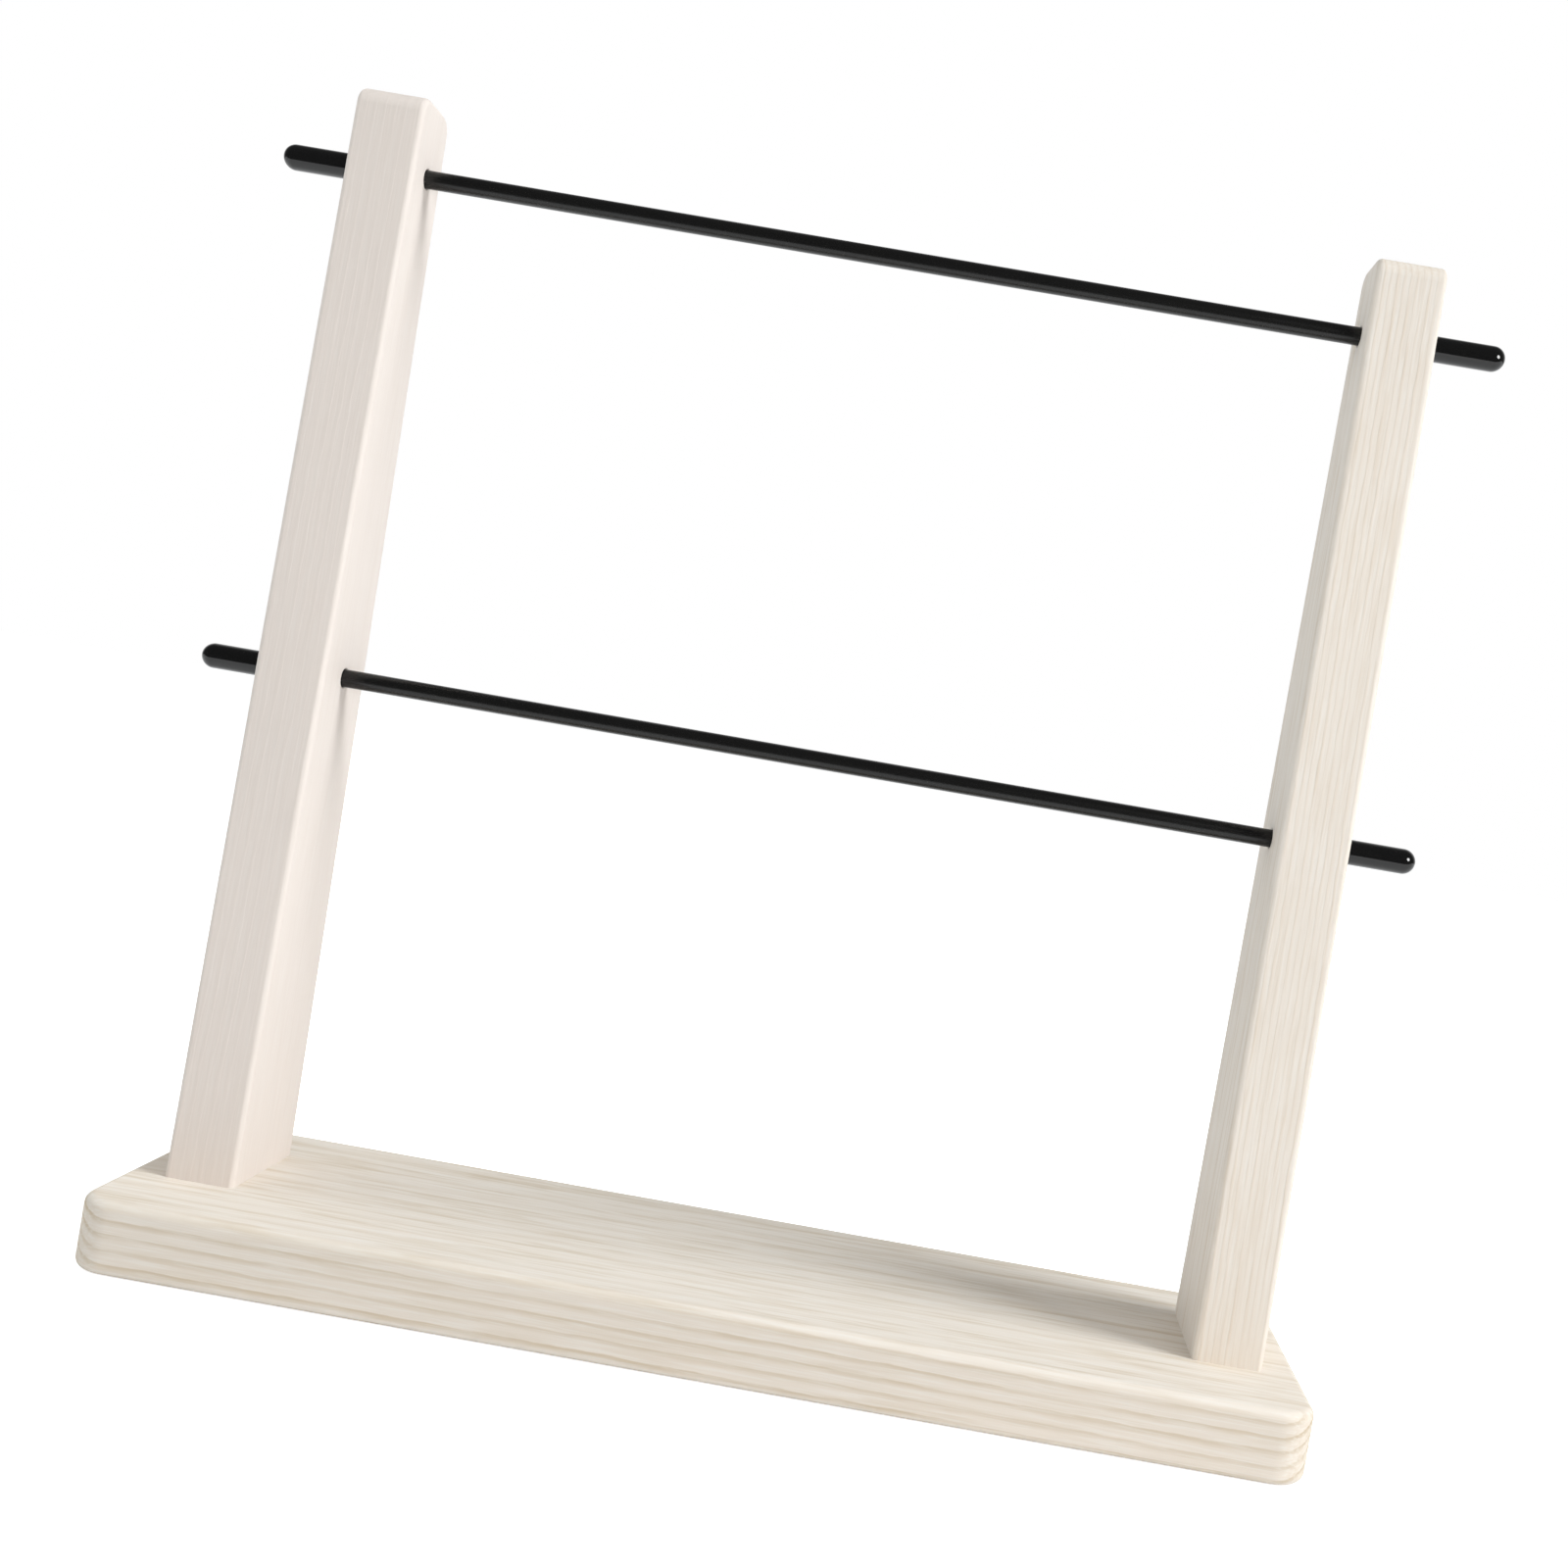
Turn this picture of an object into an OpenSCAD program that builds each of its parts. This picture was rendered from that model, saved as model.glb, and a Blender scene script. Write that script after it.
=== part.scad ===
// Tabletop yarn holder: a base board, tapered uprights and rods with push-on end caps.
// The origin is at the middle of the underside: X runs along the base, Y to the back, Z up.

/* [Base board] */
// Length of the board, end to end
base_length = 320; // [260:1:400]
// Depth of the board, front to back
base_depth = 90; // [70:1:120]
// Thickness of the board
base_thickness = 19; // [16:0.5:25]
// Radius of the board's corners, seen from above
base_corner_radius = 10; // [6:0.5:14]
// Radius of the eased edges above and below
base_edge_radius = 2.5; // [1:0.25:4]

/* [Uprights] */
// Height of an upright above the board
upright_height = 300; // [260:1:360]
// Thickness of an upright, along the rods
upright_thickness = 19; // [15:0.5:25]
// Depth of an upright at its foot
upright_foot_depth = 40; // [34:0.5:50]
// Depth of an upright at its top
upright_top_depth = 21; // [16:0.5:28]
// Radius of the top's front and back corners
upright_top_radius = 5; // [3:0.5:7]
// Radius of the eased long edges
upright_edge_radius = 1.5; // [0.75:0.25:2.5]
// Distance from the board's end to the upright's outer face
upright_end_margin = 10.5; // [5:0.5:20]
// How far the uprights stand behind the board's centre line
upright_set_back = 3; // [0:0.5:6]

/* [Rods] */
// Diameter of a rod
rod_diameter = 5; // [4:0.25:6]
// Height of the lower rod's axis above the board
lower_rod_height = 140; // [100:1:160]
// Distance from an upright's top down to the upper rod's axis
upper_rod_drop = 20; // [12:0.5:40]
// Bevel at the ends of a rod
rod_end_bevel = 0.5; // [0.25:0.05:1]
// Radial clearance of a rod in an upright's hole
rod_hole_clearance = 0.1; // [0.04:0.01:0.1]

/* [End caps] */
// Length of a cap, mouth to tip
cap_length = 21; // [15:0.5:30]
// Wall of a cap round its socket
cap_wall = 0.95; // [0.7:0.05:1.5]
// Radius of the rounded rim at the mouth
cap_rim_radius = 0.4; // [0.2:0.05:0.45]
// Radial clearance of a rod in a cap's socket
cap_socket_clearance = 0.05; // [0.02:0.01:0.1]
// Gap from an upright's outer face to the cap's mouth
cap_standoff = 0.3; // [0.2:0.05:0.6]
// Gap from the rod's end to the bottom of the socket
cap_end_gap = 0.2; // [0.1:0.05:0.5]

/* [Screws] */
// Length of a screw, head included
screw_length = 40; // [32:1:50]
// Diameter of a screw's shank
screw_diameter = 4; // [3:0.25:5]
// Diameter of a screw's countersunk head
screw_head_diameter = 8; // [6.5:0.25:9.5]
// Thickness of the head's straight rim
screw_head_rim = 0.4; // [0.2:0.1:0.8]
// Length of a screw's point
screw_point_length = 5; // [3:0.5:8]
// Diameter of the blunt tip of a screw's point
screw_tip_diameter = 0.4; // [0.2:0.1:0.8]
// Depth of an upright's screw holes past the screws' tips
screw_tip_gap = 1; // [0.5:0.25:3]
// Distance between the screws of one foot, front to back
screw_spacing = 20; // [14:0.5:22]
// How far a head lies above the underside
screw_recess = 0.6; // [0.2:0.1:1.5]
// Radial clearance of a screw in the board
screw_hole_clearance = 0.25; // [0.1:0.05:0.5]
// Radial clearance of a screw in an upright's foot
screw_grip_clearance = 0.05; // [0.02:0.01:0.1]
// Span of the cross recess, tip to tip of its arms
screw_cross_span = 4.4; // [3:0.1:5]
// Width of a cross recess's arms
screw_cross_width = 1; // [0.8:0.1:1.4]
// Depth of the cross recess
screw_cross_depth = 1.8; // [1:0.1:2]

/* [Hidden] */

left = -1;
right = 1;
front = -1;
back = 1;

// Uprights: where the outer face, the middle and the top of each lie.
outer_face = base_length / 2 - upright_end_margin;
upright_middle = outer_face - upright_thickness / 2;
upright_top = base_thickness + upright_height;

// Rods: both axes lie in the uprights' middle plane, one measured up from the board, one down from the top.
lower_rod_z = base_thickness + lower_rod_height;
upper_rod_z = upright_top - upper_rod_drop;
rod_hole_diameter = rod_diameter + 2 * rod_hole_clearance;

// Caps: a round dome closes each one, and the rods end just short of the socket's bottom.
cap_socket_radius = rod_diameter / 2 + cap_socket_clearance;
cap_radius = cap_socket_radius + cap_wall;
cap_socket_depth = cap_length - cap_radius;
cap_mouth = outer_face + cap_standoff;
rod_half_length = cap_mouth + cap_socket_depth - cap_end_gap;

// Screws: a 90 degree head seats in a matching countersink.
screw_head_cone = (screw_head_diameter - screw_diameter) / 2;
screw_top = screw_recess + screw_length;

// Cutting tools reach this far past the faces they open, and a foot starts with a land this high.
overcut = 1;
foot_land = 0.2;

// Sides of the round corners that a drawn-up block is stretched over.
foot_sides = 32;
roller_sides = 48;

wood_pale = [0.93, 0.89, 0.83];
wood_warm = [0.92, 0.87, 0.80];
rod_black = [0.10, 0.10, 0.10];
cap_black = [0.04, 0.04, 0.04];
screw_zinc = [0.72, 0.72, 0.70];

$fn = 64;

// Flat rectangle with round corners, centred.
module eased_rectangle(width, height, radius) {
    square([width - 2 * radius, height], center = true);
    square([width, height - 2 * radius], center = true);
    for (sx = [-1, 1], sy = [-1, 1])
        translate([sx * (width / 2 - radius), sy * (height / 2 - radius)])
            circle(radius);
}

// Disc with eased rims, centred, its axis along Z.
module eased_disc(radius, height, edge) {
    rotate_extrude()
        intersection() {
            eased_rectangle(2 * radius, height, edge);
            translate([0, -height])
                square([2 * radius, 2 * height]);
        }
}

// Straight hole through an upright, along X, at a rod's place.
module rod_hole(z) {
    translate([0, upright_set_back, z])
        rotate([0, 90, 0])
            cylinder(d = rod_hole_diameter, h = upright_thickness + 2 * overcut, center = true);
}

// Places its children at the foot of one screw, with the head down.
module at_screw(side, place) {
    translate([side * upright_middle, upright_set_back + place * screw_spacing / 2, 0])
        children();
}

// Clearance hole and countersink for one screw, from below.
module screw_countersink() {
    head_hole = screw_head_diameter + 2 * screw_hole_clearance;
    shank_hole = screw_diameter + 2 * screw_hole_clearance;
    translate([0, 0, -overcut])
        cylinder(d = shank_hole, h = base_thickness + 2 * overcut);
    translate([0, 0, -overcut])
        cylinder(d = head_hole, h = overcut + screw_recess + screw_head_rim);
    translate([0, 0, screw_recess + screw_head_rim])
        cylinder(d1 = head_hole, d2 = shank_hole, h = screw_head_cone);
}

// Hole for one screw in an upright's foot.
module screw_pilot() {
    pilot_bottom = base_thickness - overcut;
    pilot_top = screw_top + screw_tip_gap;
    translate([0, 0, pilot_bottom])
        cylinder(d = screw_diameter + 2 * screw_grip_clearance, h = pilot_top - pilot_bottom);
}

// Board with round corners and eased edges: a long bar, a cross bar and corner posts.
module base_blank() {
    rotate([90, 0, 90])
        linear_extrude(base_length - 2 * base_corner_radius, center = true)
            eased_rectangle(base_depth, base_thickness, base_edge_radius);
    rotate([90, 0, 0])
        linear_extrude(base_depth - 2 * base_corner_radius, center = true)
            eased_rectangle(base_length, base_thickness, base_edge_radius);
    corner_x = base_length / 2 - base_corner_radius;
    corner_y = base_depth / 2 - base_corner_radius;
    for (sx = [-1, 1], sy = [-1, 1])
        translate([sx * corner_x, sy * corner_y, 0])
            eased_disc(base_corner_radius, base_thickness, base_edge_radius);
}

module base_board() {
    color(wood_pale)
        difference() {
            translate([0, 0, base_thickness / 2])
                base_blank();
            for (side = [left, right], place = [front, back])
                at_screw(side, place)
                    screw_countersink();
        }
}

// Tapered block with eased edges: its foot's corners drawn up to two rollers at the top.
module upright_blank() {
    foot_x = upright_thickness / 2 - upright_edge_radius;
    foot_y = upright_foot_depth / 2 - upright_edge_radius;
    roller_y = upright_top_depth / 2 - upright_top_radius;
    hull() {
        for (sx = [-1, 1], sy = [-1, 1])
            translate([sx * foot_x, upright_set_back + sy * foot_y, base_thickness])
                cylinder(r = upright_edge_radius, h = foot_land, $fn = foot_sides);
        for (sy = [-1, 1])
            translate([0, upright_set_back + sy * roller_y, upright_top - upright_top_radius])
                rotate([0, 90, 0])
                    eased_disc(
                        upright_top_radius,
                        upright_thickness,
                        upright_edge_radius,
                        $fn = roller_sides
                    );
    }
}

module upright(side) {
    color(wood_warm)
        difference() {
            translate([side * upright_middle, 0, 0])
                difference() {
                    upright_blank();
                    rod_hole(lower_rod_z);
                    rod_hole(upper_rod_z);
                }
            for (place = [front, back])
                at_screw(side, place)
                    screw_pilot();
        }
}

module left_upright() {
    upright(left);
}

module right_upright() {
    upright(right);
}

// Round rod along X with bevelled ends.
module rod(z) {
    color(rod_black)
        translate([-rod_half_length, upright_set_back, z])
            rotate([0, 90, 0])
                rotate_extrude()
                    polygon([
                        [0, 0],
                        [rod_diameter / 2 - rod_end_bevel, 0],
                        [rod_diameter / 2, rod_end_bevel],
                        [rod_diameter / 2, 2 * rod_half_length - rod_end_bevel],
                        [rod_diameter / 2 - rod_end_bevel, 2 * rod_half_length],
                        [0, 2 * rod_half_length],
                    ]);
}

module upper_rod() {
    rod(upper_rod_z);
}

module lower_rod() {
    rod(lower_rod_z);
}

// Half section of a cap, mouth at zero: a tube with a round rim, closed by a dome.
module cap_section() {
    difference() {
        union() {
            translate([0, cap_rim_radius])
                square([cap_radius, cap_length - cap_radius - cap_rim_radius]);
            square([cap_radius - cap_rim_radius, cap_length - cap_radius]);
            translate([cap_radius - cap_rim_radius, cap_rim_radius])
                circle(cap_rim_radius);
            intersection() {
                translate([0, cap_length - cap_radius])
                    circle(cap_radius);
                translate([0, cap_length - cap_radius])
                    square(cap_radius);
            }
        }
        translate([-overcut, -overcut])
            square([cap_socket_radius + overcut, cap_socket_depth + overcut]);
    }
}

module cap(side, z) {
    color(cap_black)
        translate([side * cap_mouth, upright_set_back, z])
            rotate([0, side * 90, 0])
                rotate_extrude()
                    cap_section();
}

module upper_rod_left_cap() {
    cap(left, upper_rod_z);
}

module upper_rod_right_cap() {
    cap(right, upper_rod_z);
}

module lower_rod_left_cap() {
    cap(left, lower_rod_z);
}

module lower_rod_right_cap() {
    cap(right, lower_rod_z);
}

// Cross recess in the face of a screw's head, from below.
module cross_recess() {
    for (turn = [0, 90])
        rotate(turn)
            translate([-screw_cross_span / 2, -screw_cross_width / 2, screw_recess - overcut])
                cube([screw_cross_span, screw_cross_width, screw_cross_depth + overcut]);
}

// Countersunk wood screw, head down, with a cross recess and a point.
module screw(side, place) {
    neck = screw_recess + screw_head_rim;
    point = screw_top - screw_point_length;
    color(screw_zinc)
        at_screw(side, place)
            difference() {
                rotate_extrude()
                    polygon([
                        [0, screw_recess],
                        [screw_head_diameter / 2, screw_recess],
                        [screw_head_diameter / 2, neck],
                        [screw_diameter / 2, neck + screw_head_cone],
                        [screw_diameter / 2, point],
                        [screw_tip_diameter / 2, screw_top],
                        [0, screw_top],
                    ]);
                cross_recess();
            }
}

module left_front_screw() {
    screw(left, front);
}

module left_back_screw() {
    screw(left, back);
}

module right_front_screw() {
    screw(right, front);
}

module right_back_screw() {
    screw(right, back);
}

base_board();
left_upright();
right_upright();
upper_rod();
lower_rod();
upper_rod_left_cap();
upper_rod_right_cap();
lower_rod_left_cap();
lower_rod_right_cap();
left_front_screw();
left_back_screw();
right_front_screw();
right_back_screw();
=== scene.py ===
import math

import bmesh
import bpy
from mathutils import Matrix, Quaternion, Vector


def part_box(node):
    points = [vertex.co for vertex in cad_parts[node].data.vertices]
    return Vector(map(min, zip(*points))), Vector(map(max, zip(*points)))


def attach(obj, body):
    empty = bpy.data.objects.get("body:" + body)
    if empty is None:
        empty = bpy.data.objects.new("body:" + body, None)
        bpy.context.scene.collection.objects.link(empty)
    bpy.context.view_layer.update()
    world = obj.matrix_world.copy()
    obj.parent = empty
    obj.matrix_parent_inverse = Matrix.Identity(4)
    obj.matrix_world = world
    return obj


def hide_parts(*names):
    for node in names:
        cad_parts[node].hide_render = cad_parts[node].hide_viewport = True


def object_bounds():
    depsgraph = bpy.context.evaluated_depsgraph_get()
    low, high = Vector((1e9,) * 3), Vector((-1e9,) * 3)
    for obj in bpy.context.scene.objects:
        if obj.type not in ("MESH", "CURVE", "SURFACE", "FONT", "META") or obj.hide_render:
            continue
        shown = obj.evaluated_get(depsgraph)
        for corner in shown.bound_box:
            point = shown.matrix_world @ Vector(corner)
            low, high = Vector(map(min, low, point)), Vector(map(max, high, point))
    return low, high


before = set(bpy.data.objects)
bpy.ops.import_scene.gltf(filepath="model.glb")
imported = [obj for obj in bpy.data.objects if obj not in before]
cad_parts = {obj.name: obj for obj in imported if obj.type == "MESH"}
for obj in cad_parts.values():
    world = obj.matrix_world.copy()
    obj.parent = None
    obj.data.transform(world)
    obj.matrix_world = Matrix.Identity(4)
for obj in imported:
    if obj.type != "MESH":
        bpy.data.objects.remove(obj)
cad_low, cad_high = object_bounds()


# Base board
# The plank that the whole holder stands on: pale limed softwood, planed flat and sawn to length.
# Its corners are rounded and all its edges eased with a router, and four holes are countersunk
# from below for the screws that hold the uprights.

board_low, board_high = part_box("base_board")
board_thickness = board_high.z - board_low.z
board_corner_radius = 0.010
board_edge_radius = 0.0025
screw_nodes = ("left_front_screw", "left_back_screw", "right_front_screw", "right_back_screw")
screw_head_rim = 0.0004
screw_shank_radius = 0.002
screw_hole_clearance = 0.00025
cutter_overrun = 0.001
round_steps = 10
turned_sides = 64


def eased_rim(thickness, radius):
    """Pairs of inset and height up a slab's side, from one flat face to the other, with round rims."""
    turns = [math.pi / 2 * step / round_steps for step in range(round_steps + 1)]
    lower = [(radius * (1 - math.sin(turn)), radius * (1 - math.cos(turn))) for turn in turns]
    return lower + [(inset, thickness - height) for inset, height in reversed(lower)]


def arc(centre_across, centre_up, radius, start, end):
    """Points of a round stretch of an outline, from one angle to another, in degrees."""
    turns = [math.radians(start + (end - start) * step / round_steps) for step in range(round_steps + 1)]
    return [(centre_across + radius * math.cos(turn), centre_up + radius * math.sin(turn)) for turn in turns]


def skinned(name, loops):
    """A closed solid stretched over loops of points, with a flat face across the first and the last."""
    shape = bmesh.new()
    rows = [[shape.verts.new(point) for point in loop] for loop in loops]
    for near, far in zip(rows, rows[1:]):
        for i in range(len(near)):
            shape.faces.new((near[i - 1], near[i], far[i], far[i - 1]))
    shape.faces.new(rows[0])
    shape.faces.new(rows[-1])
    bmesh.ops.recalc_face_normals(shape, faces=shape.faces)
    mesh = bpy.data.meshes.new(name)
    shape.to_mesh(mesh)
    shape.free()
    piece = bpy.data.objects.new(name, mesh)
    bpy.context.scene.collection.objects.link(piece)
    return piece


def turned(name, start, axis, profile):
    """A solid turned about an axis from a profile of pairs: distance along the axis, and radius."""
    axis = Vector(axis)
    across = axis.orthogonal().normalized()
    beside = axis.cross(across)
    turns = [2 * math.pi * side / turned_sides for side in range(turned_sides)]
    spokes = [across * math.cos(turn) + beside * math.sin(turn) for turn in turns]
    return skinned(name, [[Vector(start) + axis * along + spoke * radius for spoke in spokes]
                          for along, radius in profile])


def take_in_modifiers(piece):
    """Makes a piece's modifiers part of its mesh."""
    bpy.context.view_layer.update()
    graph = bpy.context.evaluated_depsgraph_get()
    finished = bpy.data.meshes.new_from_object(
        piece.evaluated_get(graph), preserve_all_data_layers=True, depsgraph=graph)
    piece.modifiers.clear()
    piece.data = finished


def cut(piece, cutter):
    """Takes the cutter's shape out of a piece."""
    carve = piece.modifiers.new("carve", "BOOLEAN")
    carve.operation = "DIFFERENCE"
    carve.solver = "EXACT"
    carve.object = cutter
    take_in_modifiers(piece)
    bpy.data.objects.remove(cutter)


def shade(piece, crisp_angle):
    """Round stretches look smooth, flat faces stay flat, and corners over the angle stay crisp."""
    for face in piece.data.polygons:
        face.use_smooth = True
    piece.data.set_sharp_from_angle(angle=math.radians(crisp_angle))
    even = piece.modifiers.new("even", "WEIGHTED_NORMAL")
    even.keep_sharp = True
    take_in_modifiers(piece)


def board_loop(inset, height):
    """The board's outline at one height, drawn in by an inset."""
    radius = board_corner_radius - inset
    reach_x = board_high.x - board_corner_radius
    reach_y = board_high.y - board_corner_radius
    corners = ((1, 1, 0), (-1, 1, 90), (-1, -1, 180), (1, -1, 270))
    return [(x, y, board_low.z + height)
            for side_x, side_y, start in corners
            for x, y in arc(side_x * reach_x, side_y * reach_y, radius, start, start + 90)]


board = skinned("limed_base_board", [board_loop(inset, height)
                                     for inset, height in eased_rim(board_thickness, board_edge_radius)])
for screw_node in screw_nodes:
    screw_low, screw_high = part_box(screw_node)
    head_hole = (screw_high.x - screw_low.x) / 2 + screw_hole_clearance
    shank_hole = screw_shank_radius + screw_hole_clearance
    seat = screw_low.z + screw_head_rim
    middle = (screw_low + screw_high) / 2
    cut(board, turned("countersink", (middle.x, middle.y, 0), (0, 0, 1), [
        (-cutter_overrun, head_hole),
        (seat, head_hole),
        (seat + head_hole - shank_hole, shank_hole),
        (board_thickness + cutter_overrun, shank_hole),
    ]))
shade(board, crisp_angle=40)


def node(tree, kind, inputs=None, **settings):
    """Adds a shader node. Its inputs are values, or sockets to link, by socket name or number."""
    made = tree.nodes.new(kind)
    for name, value in settings.items():
        setattr(made, name, value)
    for name, value in (inputs or {}).items():
        if isinstance(value, bpy.types.NodeSocket):
            tree.links.new(value, made.inputs[name])
        else:
            made.inputs[name].default_value = value
    return made


def calc(tree, operation, first, second=0.0, third=0.0):
    """The result of one sum on sockets or numbers."""
    return node(tree, "ShaderNodeMath", {0: first, 1: second, 2: third}, operation=operation).outputs[0]


def move(tree, operation, first, second):
    """The result of one sum on places or directions."""
    return node(tree, "ShaderNodeVectorMath", {0: first, 1: second}, operation=operation).outputs[0]


def match(tree, first, second):
    """How far two directions agree: 1 when they are the same, 0 when they are square to each other."""
    return node(tree, "ShaderNodeVectorMath", {0: first, 1: second}, operation="DOT_PRODUCT").outputs["Value"]


def glide(tree, value, start, end, first=0.0, last=1.0, rise="LINEAR"):
    """Goes from the first value to the last while another goes from the start to the end."""
    return node(tree, "ShaderNodeMapRange", {
        "Value": value, "From Min": start, "From Max": end, "To Min": first, "To Max": last,
    }, interpolation_type=rise).outputs["Result"]


def ramp(tree, value, start, end):
    """0 at the start and 1 at the end, with a soft rise between them."""
    return glide(tree, value, start, end, rise="SMOOTHSTEP")


def blend(tree, share, first, second):
    """A share of the second colour laid over the first."""
    mix = node(tree, "ShaderNodeMix", {"Factor": share}, data_type="RGBA")
    for socket, colour in ((mix.inputs[6], first), (mix.inputs[7], second)):
        if isinstance(colour, bpy.types.NodeSocket):
            tree.links.new(colour, socket)
        else:
            socket.default_value = (*colour, 1)
    return mix.outputs[2]


def noise(tree, place, count, detail=2.0):
    """Cloudy noise from 0 to 1, with its count per metre along each axis."""
    return node(tree, "ShaderNodeTexNoise", {
        "Vector": move(tree, "MULTIPLY", place, count), "Scale": 1.0, "Detail": detail}).outputs["Fac"]


def effect(name, inputs, outputs):
    """An empty node group with named sockets, its tree and the nodes at its two ends."""
    tree = bpy.data.node_groups.new(name, "ShaderNodeTree")
    for label, kind in inputs:
        tree.interface.new_socket(name=label, in_out="INPUT", socket_type=kind)
    for label, kind in outputs:
        tree.interface.new_socket(name=label, in_out="OUTPUT", socket_type=kind)
    return tree, tree.nodes.new("NodeGroupInput").outputs, tree.nodes.new("NodeGroupOutput").inputs


# The grain that runs through a sawn piece, with its fibres along Z and the heart of the tree at the origin:
# late wood lines that close each year's ring, broken streaks, fine fibres, and a cloudy lime wash over all.
# Each count is given twice across the fibres and then along them.
bend_count = (16, 16, 8)
ragged_count = (320, 320, 95)
fading_count = (90, 90, 20)
streak_count = (520, 520, 32)
fibre_count = (1700, 1700, 60)
wash_count = (38, 38, 9)
fine_detail = 3.0
line_rise = 2.0
line_fall = 0.4
faintest_year = 0.5
fading_range = (0.05, 0.6)
streak_range = (0.46, 0.72)
end_grain_gain = 1.2

timber_grain, taken, given = effect(
    "timber_grain",
    [("Place", "NodeSocketVector"), ("Ring Spacing", "NodeSocketFloat"), ("Wander", "NodeSocketFloat"),
     ("Raggedness", "NodeSocketFloat"), ("Line Width", "NodeSocketFloat"),
     ("Length Axis", "NodeSocketVector")],
    [("Ring Line", "NodeSocketFloat"), ("Streak", "NodeSocketFloat"), ("Fibre", "NodeSocketFloat"),
     ("Wash", "NodeSocketFloat"), ("End Grain", "NodeSocketFloat")])
in_tree = taken["Place"]
across_fibres = move(timber_grain, "MULTIPLY", in_tree, (1, 1, 0))
from_heart = node(timber_grain, "ShaderNodeVectorMath", {0: across_fibres}, operation="LENGTH").outputs["Value"]
slow_bend = calc(timber_grain, "SUBTRACT", noise(timber_grain, in_tree, bend_count), 0.5)
quick_bend = calc(timber_grain, "SUBTRACT", noise(timber_grain, in_tree, ragged_count, fine_detail), 0.5)
bent = calc(timber_grain, "MULTIPLY_ADD", slow_bend, taken["Wander"], from_heart)
bent = calc(timber_grain, "MULTIPLY_ADD", quick_bend, taken["Raggedness"], bent)
years = calc(timber_grain, "DIVIDE", bent, taken["Ring Spacing"])
in_year = calc(timber_grain, "FRACT", years)
line_start = calc(timber_grain, "MULTIPLY_ADD", taken["Line Width"], -line_rise, 1.0)
line_peak = calc(timber_grain, "MULTIPLY_ADD", taken["Line Width"], -line_fall, 1.0)
late_line = calc(timber_grain, "MULTIPLY", ramp(timber_grain, in_year, line_start, line_peak),
                 ramp(timber_grain, in_year, 1.0, line_peak))
each_year = node(timber_grain, "ShaderNodeTexWhiteNoise", {"W": calc(timber_grain, "FLOOR", years)},
                 noise_dimensions="1D").outputs["Value"]
year_depth = calc(timber_grain, "MULTIPLY_ADD", each_year, 1.0 - faintest_year, faintest_year)
fading = ramp(timber_grain, noise(timber_grain, in_tree, fading_count, fine_detail), *fading_range)
late_line = calc(timber_grain, "MULTIPLY", calc(timber_grain, "MULTIPLY", late_line, year_depth), fading)
facing = match(timber_grain, node(timber_grain, "ShaderNodeTexCoord").outputs["Normal"], taken["Length Axis"])
end_grain = calc(timber_grain, "MULTIPLY", facing, facing)
line_gain = calc(timber_grain, "MULTIPLY_ADD", end_grain, end_grain_gain, 1.0)
streaks = ramp(timber_grain, noise(timber_grain, in_tree, streak_count, fine_detail), *streak_range)
timber_grain.links.new(end_grain, given["End Grain"])
timber_grain.links.new(calc(timber_grain, "MULTIPLY", late_line, line_gain), given["Ring Line"])
timber_grain.links.new(streaks, given["Streak"])
timber_grain.links.new(noise(timber_grain, in_tree, fibre_count, fine_detail), given["Fibre"])
timber_grain.links.new(noise(timber_grain, in_tree, wash_count, fine_detail), given["Wash"])

# The paler look of eased edges, partly rubbed wear and partly a painted highlight, found where a face
# leans halfway from an axis, and the wide faces square to that axis, where the rings are cut at a slant.
spot_count = (140, 140, 140)
spot_gain = 3.2
even_gain = 1.2

edge_rub_and_highlight, taken, given = effect(
    "edge_rub_and_highlight", [("Axis", "NodeSocketVector")],
    [("Rub And Highlight", "NodeSocketFloat"), ("Wide Face", "NodeSocketFloat")])
on_surface = node(edge_rub_and_highlight, "ShaderNodeTexCoord").outputs
lean = match(edge_rub_and_highlight, on_surface["Normal"], taken["Axis"])
lean = calc(edge_rub_and_highlight, "MULTIPLY", lean, lean)
halfway = calc(edge_rub_and_highlight, "MULTIPLY", lean, calc(edge_rub_and_highlight, "SUBTRACT", 1.0, lean))
spots = noise(edge_rub_and_highlight, on_surface["Object"], spot_count, fine_detail)
spotted = calc(edge_rub_and_highlight, "MULTIPLY_ADD", spots, spot_gain, even_gain)
edge_rub_and_highlight.links.new(calc(edge_rub_and_highlight, "MULTIPLY", halfway, spotted), given["Rub And Highlight"])
edge_rub_and_highlight.links.new(lean, given["Wide Face"])

wash_dark = 0.93
wash_light = 1.05
palest_wood = 0.92
lime_colour = (0.88, 0.86, 0.82)
lime_range = (0.52, 0.36)
# The paler colour of eased edges: rubbed wear, and a painted highlight along them.
rubbed_highlight_colour = (0.88, 0.85, 0.80)
wide_face_line = -0.55
wide_face_streak = 1.0
wood_roughness = 0.5
fibre_roughness = 0.25
line_height = 0.8
grain_height = 0.00015
grain_relief = 0.4
wood_shine = 0.2


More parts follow.
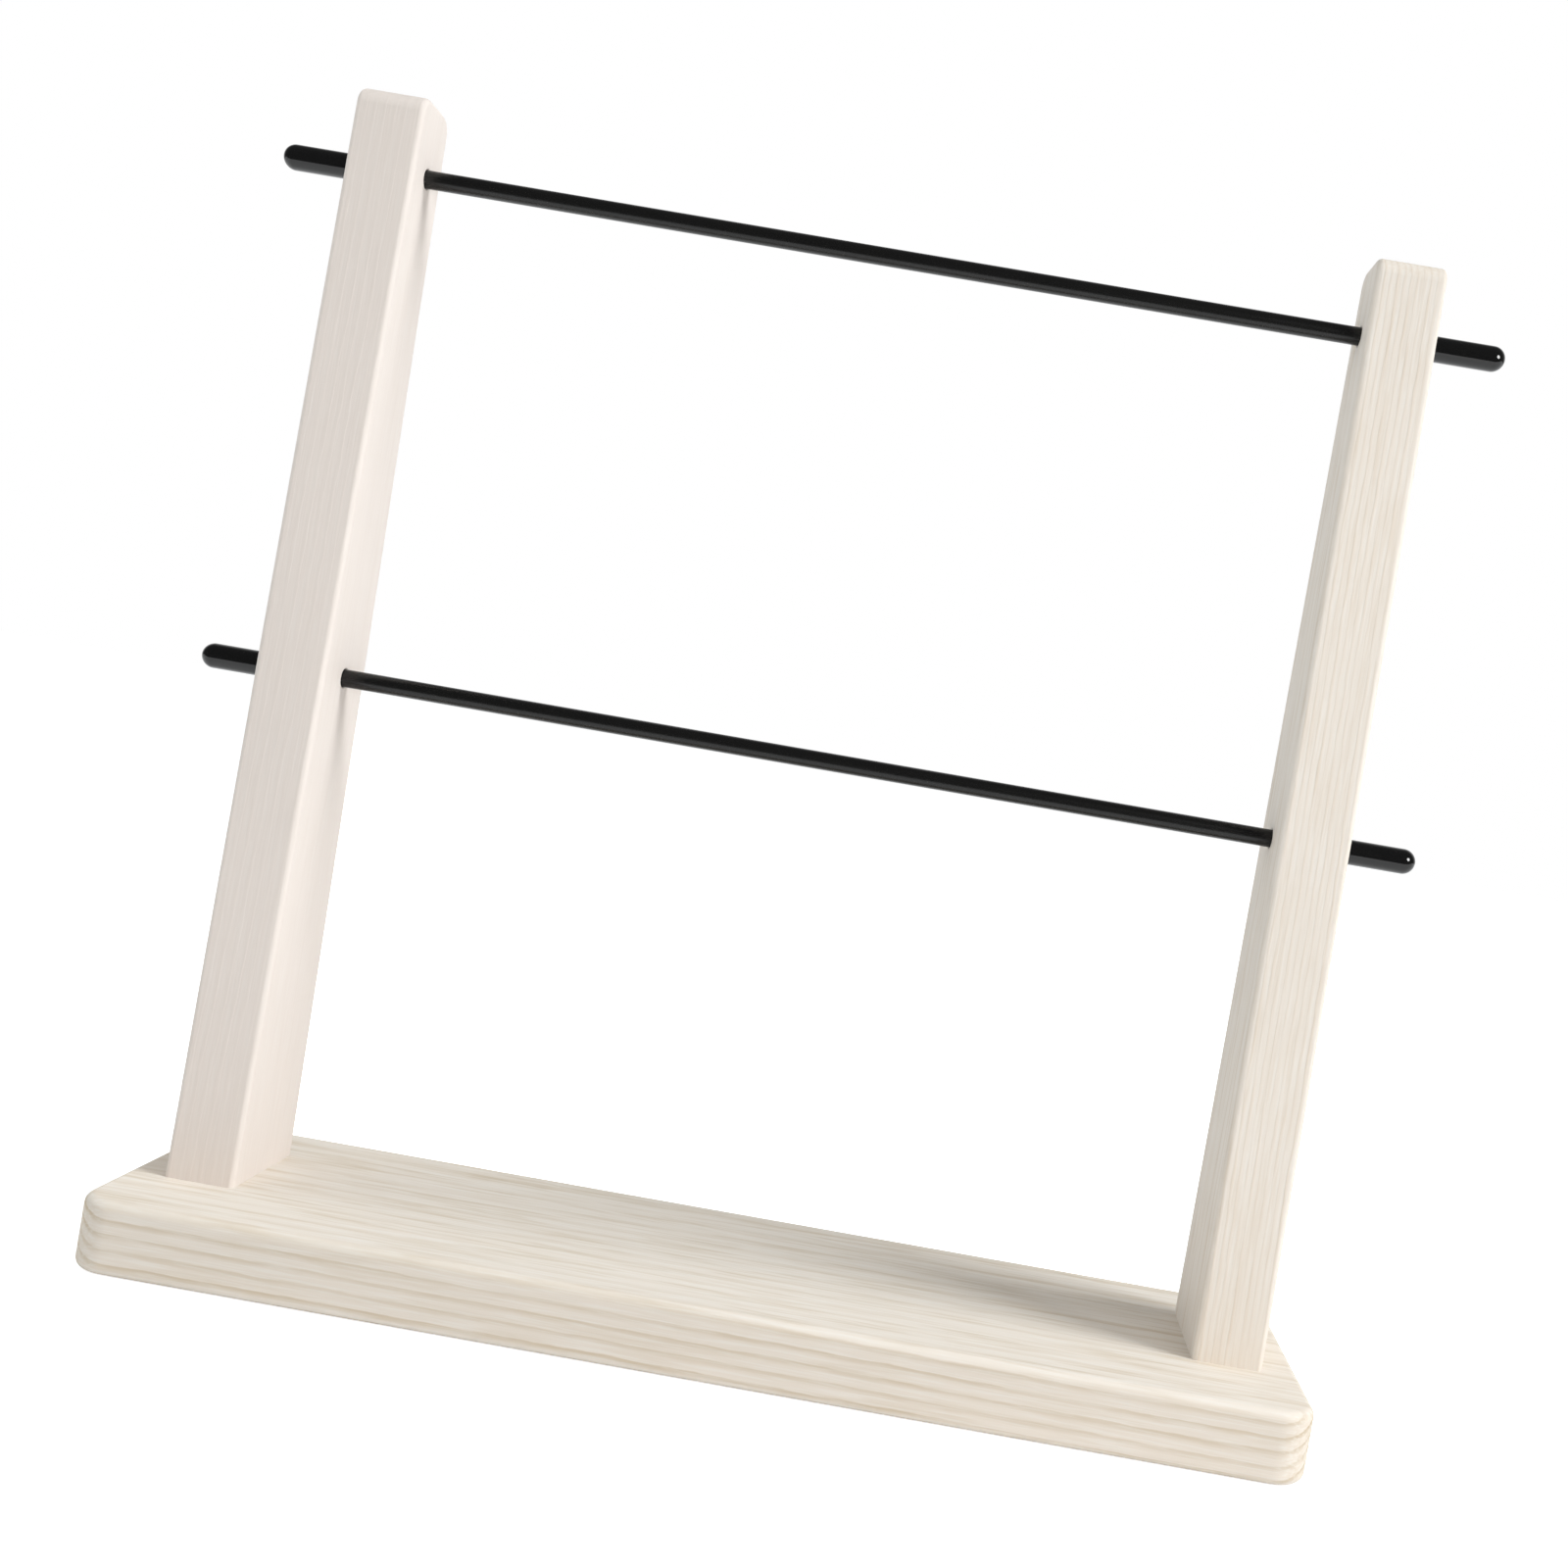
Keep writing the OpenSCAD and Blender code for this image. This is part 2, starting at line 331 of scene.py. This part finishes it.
def limed_wood(name, fibre_axis, heart, heart_slope, grain_sizes, pale, late, depths, lime_depth,
               edge_lean_axis, rub_and_highlight_depth):
    """Softwood under a thin white lime wash, with rings and fibres that run through the solid."""
    material = bpy.data.materials.new(name)
    material.use_nodes = True
    tree = material.node_tree
    surface = tree.nodes["Principled BSDF"].inputs
    in_piece = node(tree, "ShaderNodeTexCoord").outputs["Object"]
    spot = node(tree, "ShaderNodeSeparateXYZ", {0: in_piece}).outputs
    order = {"X": "YZX", "Z": "XYZ"}[fibre_axis]
    length_axis = {"X": (1, 0, 0), "Z": (0, 0, 1)}[fibre_axis]
    lengthwise = node(tree, "ShaderNodeCombineXYZ", {label: spot[axis] for label, axis in zip("XYZ", order)})
    drift = node(tree, "ShaderNodeVectorMath", {0: (*heart_slope, 0), "Scale": spot[fibre_axis]},
                 operation="SCALE")
    at_heart = move(tree, "SUBTRACT", lengthwise.outputs[0], (*heart, 0))
    place = move(tree, "SUBTRACT", at_heart, drift.outputs[0])
    grain = node(tree, "ShaderNodeGroup", {"Place": place, "Length Axis": length_axis, **grain_sizes},
                 node_tree=timber_grain).outputs
    rub_and_highlight = node(tree, "ShaderNodeGroup", {"Axis": edge_lean_axis}, node_tree=edge_rub_and_highlight).outputs
    colour = blend(tree, grain["Wash"], [wash_dark * part for part in pale],
                   [min(wash_light * part, palest_wood) for part in pale])
    slanted = {"Ring Line": calc(tree, "MULTIPLY_ADD", rub_and_highlight["Wide Face"], wide_face_line, 1.0),
               "Streak": calc(tree, "MULTIPLY_ADD", rub_and_highlight["Wide Face"], wide_face_streak, 1.0)}
    for label, depth in depths.items():
        share = calc(tree, "MULTIPLY", grain[label], depth)
        if label in slanted:
            share = calc(tree, "MULTIPLY", share, slanted[label])
        colour = blend(tree, share, colour, late)
    lime = calc(tree, "MULTIPLY", ramp(tree, grain["Fibre"], *lime_range), lime_depth)
    colour = blend(tree, lime, colour, lime_colour)
    # Eased edges are made paler: rubbed wear, and a painted highlight along them.
    colour = blend(tree, calc(tree, "MULTIPLY", rub_and_highlight["Rub And Highlight"], rub_and_highlight_depth), colour, rubbed_highlight_colour)
    roughness = calc(tree, "MULTIPLY_ADD", grain["Fibre"], fibre_roughness, wood_roughness)
    height = calc(tree, "MULTIPLY_ADD", grain["Ring Line"], line_height, grain["Fibre"])
    bump = node(tree, "ShaderNodeBump", {"Strength": grain_relief, "Distance": grain_height, "Height": height})
    tree.links.new(colour, surface["Base Color"])
    tree.links.new(roughness, surface["Roughness"])
    tree.links.new(bump.outputs[0], surface["Normal"])
    surface["Specular IOR Level"].default_value = wood_shine
    return material


board.data.materials.append(limed_wood(
    "limed_board", "X", heart=(0.075, -0.150), heart_slope=(0, -0.0065),
    grain_sizes={"Ring Spacing": 0.0029458, "Wander": 0.0024, "Raggedness": 0.0009, "Line Width": 0.27},
    pale=(0.838, 0.762, 0.678), late=(0.55, 0.425, 0.265),
    depths={"Ring Line": 0.7, "Streak": 0.2, "Fibre": 0.12, "End Grain": 0.25}, lime_depth=0.25,
    edge_lean_axis=(0, 0, 1), rub_and_highlight_depth=0.18))
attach(board, "stand")
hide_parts("base_board")


# Uprights
# Two posts of the same limed softwood, sawn with a taper so that they are wide at the foot and narrow
# at the top, with round upper corners and eased long edges. Each is drilled through for the rods, and
# bored from below for the screws that draw its foot down on the board.

upright_top_depth = 0.021
upright_top_radius = 0.005
upright_edge_radius = 0.0015
rod_hole_clearance = 0.0001
rod_hole_chamfer = 0.0003
screw_grip_clearance = 0.00005
screw_tip_gap = 0.001


def upright_loop(low, high, inset, across):
    """The upright's side outline, drawn in by an inset, at one distance across its thickness."""
    middle = (low.y + high.y) / 2
    foot_half = (high.y - low.y) / 2
    reach = upright_top_depth / 2 - upright_top_radius
    centre_up = high.z - upright_top_radius
    gap_across = foot_half - reach
    gap_up = centre_up - low.z
    lean = math.atan2(gap_across, gap_up) - math.asin(upright_top_radius / math.hypot(gap_across, gap_up))
    slope = math.degrees(lean)
    radius = upright_top_radius - inset
    foot = foot_half - inset / math.cos(lean)
    outline = [(middle + foot, low.z)]
    outline += arc(middle + reach, centre_up, radius, slope, 90)
    outline += arc(middle - reach, centre_up, radius, 90, 180 - slope)
    outline += [(middle - foot, low.z)]
    return [(low.x + across, y, z) for y, z in outline]


upright_woods = {
    "left_upright": limed_wood(
        "limed_left_upright", "Z", heart=(-0.23, 0.02), heart_slope=(0, 0),
        grain_sizes={"Ring Spacing": 0.0026, "Wander": 0.004, "Raggedness": 0.001, "Line Width": 0.3},
        pale=(0.828, 0.748, 0.692), late=(0.64, 0.53, 0.45),
        depths={"Ring Line": 0.03, "Streak": 0.04, "Fibre": 0.06, "End Grain": 0.2}, lime_depth=0.08,
        edge_lean_axis=(1, 0, 0), rub_and_highlight_depth=0.1),
    "right_upright": limed_wood(
        "limed_right_upright", "Z", heart=(0.25, 0.03), heart_slope=(0, 0),
        grain_sizes={"Ring Spacing": 0.0017, "Wander": 0.003, "Raggedness": 0.0009, "Line Width": 0.3},
        pale=(0.848, 0.783, 0.71), late=(0.63, 0.50, 0.36),
        depths={"Ring Line": 0.29, "Streak": 0.2, "Fibre": 0.12, "End Grain": 0.2}, lime_depth=0.2,
        edge_lean_axis=(1, 0, 0), rub_and_highlight_depth=0.1),
}
for upright_node, wood in upright_woods.items():
    low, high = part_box(upright_node)
    thickness = high.x - low.x
    upright = skinned("limed_" + upright_node, [
        upright_loop(low, high, inset, across)
        for inset, across in eased_rim(thickness, upright_edge_radius)])
    for rod_node in ("upper_rod", "lower_rod"):
        rod_low, rod_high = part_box(rod_node)
        hole = (rod_high.z - rod_low.z) / 2 + rod_hole_clearance
        mouth = hole + rod_hole_chamfer
        centre = (rod_low + rod_high) / 2
        cut(upright, turned("rod_hole", (low.x, centre.y, centre.z), (1, 0, 0), [
            (-cutter_overrun, mouth + cutter_overrun),
            (rod_hole_chamfer, hole),
            (thickness - rod_hole_chamfer, hole),
            (thickness + cutter_overrun, mouth + cutter_overrun),
        ]))
    for screw_node in screw_nodes:
        screw_low, screw_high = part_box(screw_node)
        middle = (screw_low + screw_high) / 2
        if low.x < middle.x < high.x:
            pilot = screw_shank_radius + screw_grip_clearance
            cut(upright, turned("screw_hole", (middle.x, middle.y, 0), (0, 0, 1), [
                (low.z - cutter_overrun, pilot),
                (screw_high.z + screw_tip_gap, pilot),
            ]))
    shade(upright, crisp_angle=40)
    upright.data.materials.append(wood)
    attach(upright, "stand")
    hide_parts(upright_node)


# Screws
# Four zinc plated countersunk wood screws with a cross recess, driven up through the board into the
# feet of the uprights. Their threads are rolled, and only the heads show, from below.

screw_head_cone = 0.002
screw_point_length = 0.005
screw_core_radius = 0.0013
screw_tip_radius = 0.0002
thread_pitch = 0.0018
thread_start = 0.014
thread_steps = 12
thread_steepness = 2.2
cross_span = 0.0044
cross_width = 0.001
cross_depth = 0.0018
cross_taper = 0.55
spangle_count = (900, 900, 900)
zinc_blue = (0.62, 0.63, 0.66)
zinc_straw = (0.74, 0.73, 0.68)
zinc_roughness = 0.2
spangle_roughness = 0.25


def threaded_screw(name, low, high):
    """A screw with its head down: a turned head and neck, then a rolled thread that runs out at the point."""
    middle = (low + high) / 2
    head_radius = (high.x - low.x) / 2
    neck = low.z + screw_head_rim + screw_head_cone
    profile = [(low.z, head_radius - screw_head_rim / 2), (low.z + screw_head_rim / 2, head_radius),
               (low.z + screw_head_rim, head_radius), (neck, screw_shank_radius)]
    loops = [[(height, radius)] * turned_sides for height, radius in profile]
    begin = low.z + thread_start
    rows = round((high.z - begin) / thread_pitch * thread_steps)
    for row in range(rows + 1):
        height = begin + (high.z - begin) * row / rows
        taper = min(1.0, (high.z - height) / screw_point_length)
        run_in = min(1.0, (height - begin) / thread_pitch)
        core = screw_shank_radius + (screw_core_radius - screw_shank_radius) * run_in
        loop = []
        for side in range(turned_sides):
            crest = abs(((height - begin) / thread_pitch - side / turned_sides) % 1 * 2 - 1)
            ridge = core + (screw_shank_radius - core) * max(0.0, 1 - thread_steepness * (1 - crest))
            loop.append((height, screw_tip_radius + (ridge - screw_tip_radius) * taper))
        loops.append(loop)
    turns = [2 * math.pi * side / turned_sides for side in range(turned_sides)]
    return skinned(name, [[(middle.x + radius * math.cos(turn), middle.y + radius * math.sin(turn), height)
                           for turn, (height, radius) in zip(turns, loop)] for loop in loops])


def recess_arm(middle, face, length, width):
    """One arm of the driver's cross, a slot that narrows as it goes in."""
    loops = []
    for height, share in ((face - cutter_overrun, 1.0), (face, 1.0), (face + cross_depth, cross_taper)):
        half_x = length / 2 * share
        half_y = width / 2 * (0.5 + share / 2)
        loops.append([(middle.x + side_x * half_x, middle.y + side_y * half_y, height)
                      for side_x, side_y in ((1, 1), (-1, 1), (-1, -1), (1, -1))])
    return skinned("recess_arm", loops)


zinc = bpy.data.materials.new("bright_zinc")
zinc.use_nodes = True
zinc_tree = zinc.node_tree
zinc_surface = zinc_tree.nodes["Principled BSDF"].inputs
zinc_place = node(zinc_tree, "ShaderNodeTexCoord").outputs["Object"]
spangle = noise(zinc_tree, zinc_place, spangle_count, fine_detail)
zinc_dulled = calc(zinc_tree, "MULTIPLY_ADD", spangle, spangle_roughness, zinc_roughness)
zinc_tree.links.new(blend(zinc_tree, spangle, zinc_blue, zinc_straw), zinc_surface["Base Color"])
zinc_tree.links.new(zinc_dulled, zinc_surface["Roughness"])
zinc_surface["Metallic"].default_value = 1.0
for screw_node in screw_nodes:
    low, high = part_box(screw_node)
    screw = threaded_screw("zinc_" + screw_node, low, high)
    middle = (low + high) / 2
    cut(screw, recess_arm(middle, low.z, cross_span, cross_width))
    cut(screw, recess_arm(middle, low.z, cross_width, cross_span))
    shade(screw, crisp_angle=35)
    screw.data.materials.append(zinc)
    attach(screw, "stand")
    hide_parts(screw_node)


# Rods
# Two lengths of 5 mm steel rod, cut and lightly bevelled at the ends, with a thin black satin coating.
# They push through the uprights' holes and turn there with the yarn.

rod_end_bevel = 0.0005
coat_black = (0.0036, 0.0035, 0.0034)
coat_dusty = (0.04, 0.038, 0.036)
coat_dust_amount = 0.2
coat_roughness = 0.2
drawn_count = (25, 2200, 2200)
drawn_roughness = 0.14
drawn_height = 0.00003
drawn_relief = 0.2
coat_shine = 0.34

# Fine dust that settles in specks and smudges on dark, smooth pieces.
speck_count = (2600, 2600, 2600)
speck_range = (0.66, 0.78)
smudge_count = (60, 300, 300)
smudge_share = 0.35

settled_dust, taken, given = effect(
    "settled_dust", [("Amount", "NodeSocketFloat")], [("Dust", "NodeSocketFloat")])
dust_place = node(settled_dust, "ShaderNodeTexCoord").outputs["Object"]
specks = glide(settled_dust, noise(settled_dust, dust_place, speck_count), *speck_range)
smudges = noise(settled_dust, dust_place, smudge_count, fine_detail)
all_dust = calc(settled_dust, "MULTIPLY_ADD", smudges, smudge_share, specks)
settled_dust.links.new(calc(settled_dust, "MULTIPLY", all_dust, taken["Amount"]), given["Dust"])

coating = bpy.data.materials.new("black_satin_coating")
coating.use_nodes = True
coat_tree = coating.node_tree
coat_surface = coat_tree.nodes["Principled BSDF"].inputs
coat_place = node(coat_tree, "ShaderNodeTexCoord").outputs["Object"]
drawn_lines = noise(coat_tree, coat_place, drawn_count, fine_detail)
coat_dust = node(coat_tree, "ShaderNodeGroup", {"Amount": coat_dust_amount}, node_tree=settled_dust)
coat_dulled = calc(coat_tree, "MULTIPLY_ADD", drawn_lines, drawn_roughness, coat_roughness)
coat_bump = node(coat_tree, "ShaderNodeBump", {
    "Strength": drawn_relief, "Distance": drawn_height, "Height": drawn_lines})
coat_colour = blend(coat_tree, coat_dust.outputs["Dust"], coat_black, coat_dusty)
coat_tree.links.new(coat_colour, coat_surface["Base Color"])
coat_tree.links.new(coat_dulled, coat_surface["Roughness"])
coat_tree.links.new(coat_bump.outputs[0], coat_surface["Normal"])
coat_surface["Specular IOR Level"].default_value = coat_shine
for place in ("upper", "lower"):
    low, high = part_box(place + "_rod")
    centre = (low + high) / 2
    radius = (high.z - low.z) / 2
    length = high.x - low.x
    rod = turned("coated_" + place + "_rod", (low.x, centre.y, centre.z), (1, 0, 0), [
        (0, radius - rod_end_bevel),
        (rod_end_bevel, radius),
        (length - rod_end_bevel, radius),
        (length, radius - rod_end_bevel),
    ])
    shade(rod, crisp_angle=30)
    rod.data.materials.append(coating)
    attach(rod, place + "_spindle")
    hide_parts(place + "_rod")


# End caps
# Four dip-moulded vinyl caps, glossy black, with a round tip and a soft rolled rim at the mouth.
# They push over the rods' ends outside the uprights and keep the rods from sliding out.

cap_wall = 0.00095
cap_rim_radius = 0.0004
cap_tip_radius = 0.00006
vinyl_black = (0.0026, 0.0026, 0.0027)
vinyl_dusty = (0.03, 0.03, 0.03)
vinyl_dust_amount = 0.12
vinyl_roughness = 0.05
dip_count = (220, 420, 420)
dip_roughness = 0.08
dip_height = 0.0001
dip_relief = 0.15
vinyl_shine = 0.42

vinyl = bpy.data.materials.new("glossy_black_vinyl")
vinyl.use_nodes = True
vinyl_tree = vinyl.node_tree
vinyl_surface = vinyl_tree.nodes["Principled BSDF"].inputs
vinyl_place = node(vinyl_tree, "ShaderNodeTexCoord").outputs["Object"]
dip_waves = noise(vinyl_tree, vinyl_place, dip_count)
vinyl_dust = node(vinyl_tree, "ShaderNodeGroup", {"Amount": vinyl_dust_amount}, node_tree=settled_dust)
vinyl_dulled = calc(vinyl_tree, "MULTIPLY_ADD", dip_waves, dip_roughness, vinyl_roughness)
vinyl_bump = node(vinyl_tree, "ShaderNodeBump", {
    "Strength": dip_relief, "Distance": dip_height, "Height": dip_waves})
vinyl_colour = blend(vinyl_tree, vinyl_dust.outputs["Dust"], vinyl_black, vinyl_dusty)
vinyl_tree.links.new(vinyl_colour, vinyl_surface["Base Color"])
vinyl_tree.links.new(vinyl_dulled, vinyl_surface["Roughness"])
vinyl_tree.links.new(vinyl_bump.outputs[0], vinyl_surface["Normal"])
vinyl_surface["Specular IOR Level"].default_value = vinyl_shine
for place in ("upper", "lower"):
    for side, outward in (("left", -1), ("right", 1)):
        cap_node = place + "_rod_" + side + "_cap"
        low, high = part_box(cap_node)
        centre = (low + high) / 2
        radius = (high.z - low.z) / 2
        length = high.x - low.x
        mouth = low.x if outward > 0 else high.x
        socket = radius - cap_wall
        dome_start = length - radius
        dome = [(dome_start + across, up) for across, up in arc(0, 0, radius, 90, 0) if up > cap_tip_radius]
        rim = [(cap_rim_radius + across, radius - cap_rim_radius + up)
               for across, up in arc(0, 0, cap_rim_radius, 180, 90)]
        cap = turned("vinyl_" + cap_node, (mouth, centre.y, centre.z), (outward, 0, 0), [
            (dome_start, cap_tip_radius),
            (dome_start, socket),
            (cap_rim_radius, socket),
            (0, socket + cap_rim_radius / 2),
            *rim,
            *dome,
            (length, cap_tip_radius),
        ])
        shade(cap, crisp_angle=50)
        cap.data.materials.append(vinyl)
        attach(cap, place + "_" + side + "_end")
        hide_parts(cap_node)


# Studio
# A white table top before a plain white sky, with the dim room behind the camera mirrored in smooth pieces.
# A soft lamp high on the right gives the shadow, low ones in front and on the left fill it, and a small one
# is only mirrored in the tips. The camera, level with the uprights' middle, is rolled, so the holder leans.

floor_reach = 6.0
floor_front = -0.4
floor_thickness = 0.01
floor_white = 0.8
floor_glow = 0.78
floor_roughness = 0.9
sky_light = 0.35
ground_light = 0.79
ambient_colour = (0.95, 0.99, 1.0)
horizon_range = (-0.05, 0.0)
overhead = 0.3
overhead_range = (0.5, 0.95)
dim_room = 0.16
dim_room_range = (0.2, 0.6)
lamps = {
    "key_lamp": {"from": (0.642, -0.133, 0.755), "distance": 4.0, "width": 1.6, "power": 122.0,
                 "colour": (0.93, 0.97, 1.0), "lights": True, "mirrored": False},
    "fill_lamp": {"from": (0.7, -1.0, 0.05), "distance": 0.8, "width": 0.5, "power": 1.98,
                  "colour": (1.0, 0.945, 0.895), "lights": True, "mirrored": False},
    "left_lamp": {"from": (-0.9, 0.0, 0.42), "distance": 0.8, "width": 0.9, "power": 2.15,
                  "colour": (0.95, 0.985, 1.0), "lights": True, "mirrored": False},
    "tip_lamp": {"from": (0.725, -0.602, 0.336), "distance": 0.89, "width": 0.34, "power": 6.5,
                 "colour": (1.0, 1.0, 1.0), "lights": False, "mirrored": True},
}
camera_place = Vector((0.0456, -0.4742, 0.1678))
camera_aim = Vector((0.0382, 0.0030, 0.1583))
camera_roll = 9.81
camera_lens = 39.55
camera_shift = -0.1
camera_nearest = 0.01


def seen_directly(tree):
    """1 for what the camera sees, straight, mirrored or through glass, and 0 for light that falls on things."""
    path = node(tree, "ShaderNodeLightPath").outputs
    mirrored = calc(tree, "MAXIMUM", path["Is Glossy Ray"], path["Is Transmission Ray"])
    return calc(tree, "MAXIMUM", path["Is Camera Ray"], mirrored)


# The table ends a little in front of the holder, and pale light comes up past its edge.
floor_corners = ((floor_reach, floor_reach), (-floor_reach, floor_reach),
                 (-floor_reach, floor_front), (floor_reach, floor_front))
floor = skinned("floor", [[(x, y, height) for x, y in floor_corners] for height in (-floor_thickness, 0.0)])
floor_paint = bpy.data.materials.new("white_floor")
floor_paint.use_nodes = True
floor_tree = floor_paint.node_tree
floor_surface = floor_tree.nodes["Principled BSDF"].inputs
floor_surface["Base Color"].default_value = (floor_white, floor_white, floor_white, 1)
floor_surface["Roughness"].default_value = floor_roughness
floor_surface["Specular IOR Level"].default_value = 0.0
floor_surface["Emission Color"].default_value = (1, 1, 1, 1)
floor_tree.links.new(
    calc(floor_tree, "MULTIPLY", seen_directly(floor_tree), floor_glow), floor_surface["Emission Strength"])
floor.data.materials.append(floor_paint)

world = bpy.data.worlds.new("white_sky")
world.use_nodes = True
bpy.context.scene.world = world
sky_tree = world.node_tree
sky = sky_tree.nodes["Background"].inputs
sky_colour = blend(sky_tree, seen_directly(sky_tree), ambient_colour, (1, 1, 1))
looking = node(sky_tree, "ShaderNodeTexCoord").outputs["Generated"]
way = node(sky_tree, "ShaderNodeSeparateXYZ", {0: looking}).outputs
seen_sky = glide(sky_tree, way["Z"], *overhead_range, 1.0, overhead, rise="SMOOTHSTEP")
mirrored_sky = glide(sky_tree, way["Y"], *dim_room_range, dim_room, seen_sky)
ambient = glide(sky_tree, way["Z"], *horizon_range, ground_light, sky_light)
in_mirror = node(sky_tree, "ShaderNodeLightPath").outputs["Is Glossy Ray"]
sky_strength = glide(sky_tree, seen_directly(sky_tree), 0.0, 1.0, ambient, seen_sky)
sky_strength = glide(sky_tree, in_mirror, 0.0, 1.0, sky_strength, mirrored_sky)
sky_tree.links.new(sky_colour, sky["Color"])
sky_tree.links.new(sky_strength, sky["Strength"])

object_middle = (cad_low + cad_high) / 2
for lamp_name, setting in lamps.items():
    lamp = bpy.data.objects.new(lamp_name, bpy.data.lights.new(lamp_name, "AREA"))
    lamp.data.shape = "DISK"
    lamp.data.size = setting["width"]
    lamp.data.energy = setting["power"]
    lamp.data.color = setting["colour"]
    lamp.visible_glossy = setting["mirrored"]
    lamp.visible_diffuse = setting["lights"]
    towards = Vector(setting["from"]).normalized()
    lamp.location = object_middle + towards * setting["distance"]
    lamp.rotation_mode = "QUATERNION"
    lamp.rotation_quaternion = (-towards).to_track_quat("-Z", "Y")
    bpy.context.scene.collection.objects.link(lamp)

camera = bpy.data.objects.new("camera", bpy.data.cameras.new("camera"))
camera.data.lens = camera_lens
camera.data.shift_x = camera_shift
camera.data.clip_start = camera_nearest
camera.location = camera_place
camera.rotation_mode = "QUATERNION"
level_view = (camera_aim - camera_place).to_track_quat("-Z", "Y")
camera.rotation_quaternion = level_view @ Quaternion((0, 0, 1), math.radians(camera_roll))
bpy.context.scene.collection.objects.link(camera)
bpy.context.scene.camera = camera
bpy.context.scene.view_settings.view_transform = "Standard"
